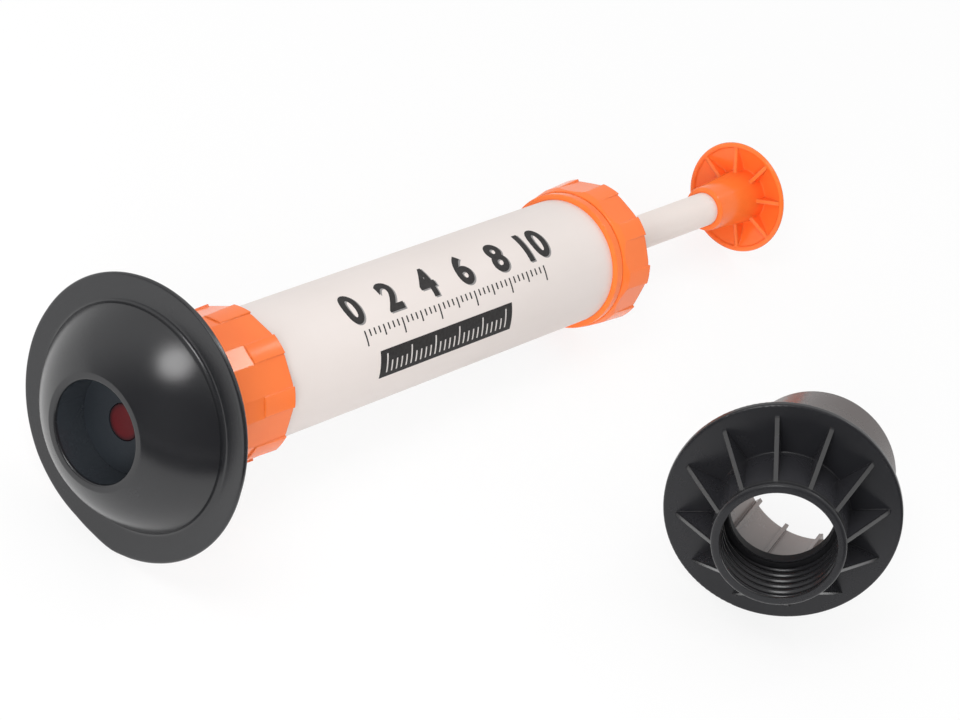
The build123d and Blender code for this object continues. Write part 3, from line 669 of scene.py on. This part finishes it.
def makeNumbers(name, shift, proud):
    # Flat figures cut into strips and rolled on to the barrel: along = station, up = turn, depth = radius.
    figures = bmesh.new()
    for place, number in enumerate(scale["numbers"]):
        letters = bpy.data.curves.new(name, "FONT")
        letters.body = number
        letters.align_x = "CENTER"
        letters.size = scale["height"] / scale["figureShare"]
        letters.offset = scale["bold"]
        letters.extrude = scale["thick"]
        letters.resolution_u = scale["curveSteps"]
        holder = bpy.data.objects.new(name, letters)
        flat = bpy.data.meshes.new_from_object(holder)
        flat.transform(Matrix.Translation((scale["first"] + scale["pitch"] * place, 0, 0)))
        figures.from_mesh(flat)
        bpy.data.objects.remove(holder)
        bpy.data.curves.remove(letters)
        bpy.data.meshes.remove(flat)
    bmesh.ops.remove_doubles(figures, verts=figures.verts, dist=scale["same"])
    spare = scale["cut"] * scale["spareCuts"]
    for height in np.arange(-spare, scale["height"] + spare, scale["cut"]):
        everything = figures.verts[:] + figures.edges[:] + figures.faces[:]
        bmesh.ops.bisect_plane(figures, geom=everything, plane_co=(0, height, 0), plane_no=(0, 1, 0),
                               dist=scale["onCut"])
    mesh = bpy.data.meshes.new(name)
    figures.to_mesh(mesh)
    figures.free()
    flat = np.empty(len(mesh.vertices) * 3)
    mesh.vertices.foreach_get("co", flat)
    along, up, depth = flat.reshape(-1, 3).T
    radius = np.where(depth > 0, scale["barrelR"] + proud, scale["barrelR"] - scale["sunk"])
    turn = np.radians(scale["baseTurn"]) + (up + shift[1]) / scale["barrelR"]
    mesh.vertices.foreach_set("co", onAxis(pump, along + shift[0], radius, turn).ravel())
    return outward(linked(name, mesh))


def makeBars(name, bars, proud, steps=14):
    # Bars given as station from and to and turn from and to, each a four-sided slab rolled on to the barrel.
    bars = np.array(bars)
    station = bars[:, [0, 0, 1, 1]][:, None, :]
    radius = scale["barrelR"] + np.array([-scale["sunk"], proud, proud, -scale["sunk"]])
    turn = np.radians(bars[:, 2:3] + (bars[:, 3:] - bars[:, 2:3]) * np.linspace(0, 1, steps))[:, :, None]
    station, radius, turn = np.broadcast_arrays(station, radius, turn)
    index = np.arange(station.size).reshape(station.shape)
    ring = np.concatenate([index, index[:, :, :1]], axis=2)
    sides = np.stack([ring[:, :-1, :-1], ring[:, 1:, :-1], ring[:, 1:, 1:], ring[:, :-1, 1:]], axis=-1)
    quads = np.vstack([sides.reshape(-1, 4), index[:, 0], index[:, -1]])
    mesh = bpy.data.meshes.new(name)
    mesh.from_pydata(onAxis(pump, station, radius, turn).reshape(-1, 3), [], quads.tolist())
    return outward(linked(name, mesh))


def barRow(station, width, turnFrom, turnTo):
    # One bar of that width at each station, from one turn to another.
    return np.stack(np.broadcast_arrays(station - width / 2, station + width / 2, turnFrom, turnTo), axis=1)


def tickRow():
    # Ticks from the first number to the last: long at each number, middling half way, short between.
    each = scale["ticksEach"]
    step = np.arange((len(scale["numbers"]) - 1) * each + 1)
    longest, middle, short = scale["tickLengths"]
    length = np.where(step % each == 0, longest, np.where(step % (each // 2) == 0, middle, short))
    station = scale["first"] + scale["pitch"] / each * step
    return barRow(station, scale["tickWidth"], scale["tickTurn"] - length, scale["tickTurn"])


def paleRow():
    # Even ticks inside the band, every fifth one long.
    first, last = scale["band"][:2]
    station = np.linspace(first + scale["paleMargin"], last - scale["paleMargin"], scale["paleCount"])
    length = np.where(np.arange(scale["paleCount"]) % scale["paleEach"] == 0, *scale["paleLengths"])
    return barRow(station, scale["paleWidth"], scale["paleTurn"], scale["paleTurn"] + length)


proud = scale["proud"]
dress(makeNumbers("scaleEdge", scale["edgeShift"], proud["edge"]), "printGrey", "pump", "black_plastic")
dress(makeNumbers("scaleNumbers", (0, 0), proud["numbers"]), "printInk", "pump", "black_plastic")
dress(makeBars("scaleTicks", tickRow(), proud["ticks"]), "printInk", "pump", "black_plastic")
dress(makeBars("scaleBand", [scale["band"]], proud["band"]), "printInk", "pump", "black_plastic")
dress(makeBars("scaleBandTicks", paleRow(), proud["pale"]), "printPale", "pump", "white_plastic")
print("scale printed")

# Studio: a white floor, a room that is bright behind and dim on the viewer's side, and a dark card in front.
stage = {"floorSize": 30.0, "floorColour": (0.92, 0.92, 0.92), "shownWhite": 0.85, "white": (1, 1, 1, 1),
         "roomBright": 0.88, "roomDim": 0.12, "behind": (0.78, 0.55, 0.30), "roomEnds": (-0.6, 0.3),
         # the card on the floor: how far towards the viewer it starts and ends, half its width, its height
         "card": (0.433, 3.0, 2.0), "cardLift": 0.002, "cardColour": (0.02, 0.02, 0.02),
         "viewer": (-0.63, -0.777)}


def lightPathShare(start, share):
    # 1 for rays from the camera, a mirror or a clear surface, times a share
    outputs = start.node("ShaderNodeLightPath").socket.node.outputs
    camera, mirror, clear = (Wire(start.tree, outputs[f"Is {ray} Ray"])
                             for ray in ("Camera", "Glossy", "Transmission"))
    return start.maths("MAXIMUM", start.maths("MAXIMUM", camera, mirror), clear) * share


def makeFloor():
    # A level square that is matt to the light and nearly white to the viewer.
    half = stage["floorSize"] / 2
    across, along = np.meshgrid([-half, half], [-half, half])
    floor = gridPiece("studioFloor", np.stack([across, along, 0 * across], axis=-1), False, False)
    material, start = emptied(bpy.data.materials.new("floorPaint"))
    matt = start.node("ShaderNodeBsdfDiffuse", {}, {"Color": (*stage["floorColour"], 1)})
    white = start.node("ShaderNodeEmission", {}, {"Color": stage["white"], "Strength": 1.0})
    shown = lightPathShare(start, stage["shownWhite"])
    mixed = start.node("ShaderNodeMixShader", {}, {0: shown, 1: matt, 2: white})
    start.node("ShaderNodeOutputMaterial", {}, {"Surface": mixed})
    floor.data.materials.append(material)


def makeCard():
    # A dark card outside the picture, which black pieces mirror. It shows nowhere else and has no shadow.
    near, far, half = stage["card"]
    viewer = unit((*stage["viewer"], 0.0))
    ahead, aside = np.meshgrid([near, far], [-half, half])
    sideways = np.cross((0, 0, 1), viewer)
    spots = ahead[..., None] * viewer + aside[..., None] * sideways + (0, 0, stage["cardLift"])
    card = gridPiece("darkCard", spots, False, False)
    material, start = emptied(bpy.data.materials.new("cardBlack"))
    black = start.node("ShaderNodeBsdfDiffuse", {}, {"Color": (*stage["cardColour"], 1)})
    start.node("ShaderNodeOutputMaterial", {}, {"Surface": black})
    card.data.materials.append(material)
    card.visible_camera = False
    card.visible_diffuse = False
    card.visible_shadow = False


def makeWorld():
    # Brightness of the room by how far a direction goes behind the picture.
    scene.world, start = emptied(bpy.data.worlds.new("studioRoom"))
    way = start.node("ShaderNodeTexCoord", output="Generated")
    towards = rising(start, dot(start, way, stage["behind"]), *stage["roomEnds"])
    dim, bright = (start.node("ShaderNodeBackground", {}, {"Color": stage["white"], "Strength": strength})
                   for strength in (stage["roomDim"], stage["roomBright"]))
    room = start.node("ShaderNodeMixShader", {}, {0: towards, 1: dim, 2: bright})
    start.node("ShaderNodeOutputWorld", {}, {"Surface": room})


# Two round lamps and a fill that leaves no highlight: what each is aimed at, the way back to it and how far.
lamps = {
    "overCup": {"aim": (-0.284, 0.087, 0.133), "way": (-0.483, 0.027, 0.875), "far": 1.6, "size": 0.75,
                "watts": 8.5, "shines": True},
    "overHandle": {"aim": (-0.226, 0.086, 0.116), "way": (0.793, -0.080, 0.609), "far": 2.0, "size": 0.26,
                   "watts": 2.0, "shines": True},
    "bySide": {"aim": (0.0, 0.0, 0.06), "way": (-0.88, -0.36, 0.32), "far": 2.6, "size": 1.6,
               "watts": 52.0, "shines": False},
}


def makeLamp(name, lamp):
    data = bpy.data.lights.new(name, "AREA")
    data.shape = "DISK"
    data.size = lamp["size"]
    data.energy = lamp["watts"]
    light = linked(name, data)
    way = Vector(lamp["way"]).normalized()
    light.location = Vector(lamp["aim"]) + way * lamp["far"]
    light.rotation_euler = way.to_track_quat("Z", "Y").to_euler()
    light.visible_glossy = lamp["shines"]


makeFloor()
makeCard()
makeWorld()
for lampName, lamp in lamps.items():
    makeLamp(lampName, lamp)
print("studio made")

# Camera: where it stands from the cup's lip, and in degrees which way it looks and how far it was turned.
view = {"fromLip": (-1.29024, -0.83891, 1.28765), "azimuth": -63.18, "elevation": 36.65, "roll": 25.02,
        "lens": 143.325, "sensor": 36.0, "farthest": 50.0}


def makeCamera():
    data = bpy.data.cameras.new("photoCamera")
    data.lens = view["lens"]
    data.sensor_width = view["sensor"]
    data.clip_end = view["farthest"]
    camera = linked("photoCamera", data)
    around, above, roll = np.radians([view["azimuth"], view["elevation"], view["roll"]])
    back = Vector((np.sin(around) * np.cos(above), -np.cos(around) * np.cos(above), np.sin(above)))
    level = Vector((np.cos(around), np.sin(around), 0))
    upright = back.cross(level)
    right = level * np.cos(roll) + upright * np.sin(roll)
    up = back.cross(right)
    turned = Matrix((right, up, back)).transposed().to_4x4()
    camera.matrix_world = Matrix.Translation(Vector(pump["start"] + view["fromLip"])) @ turned
    scene.camera = camera


makeCamera()
print("camera set")
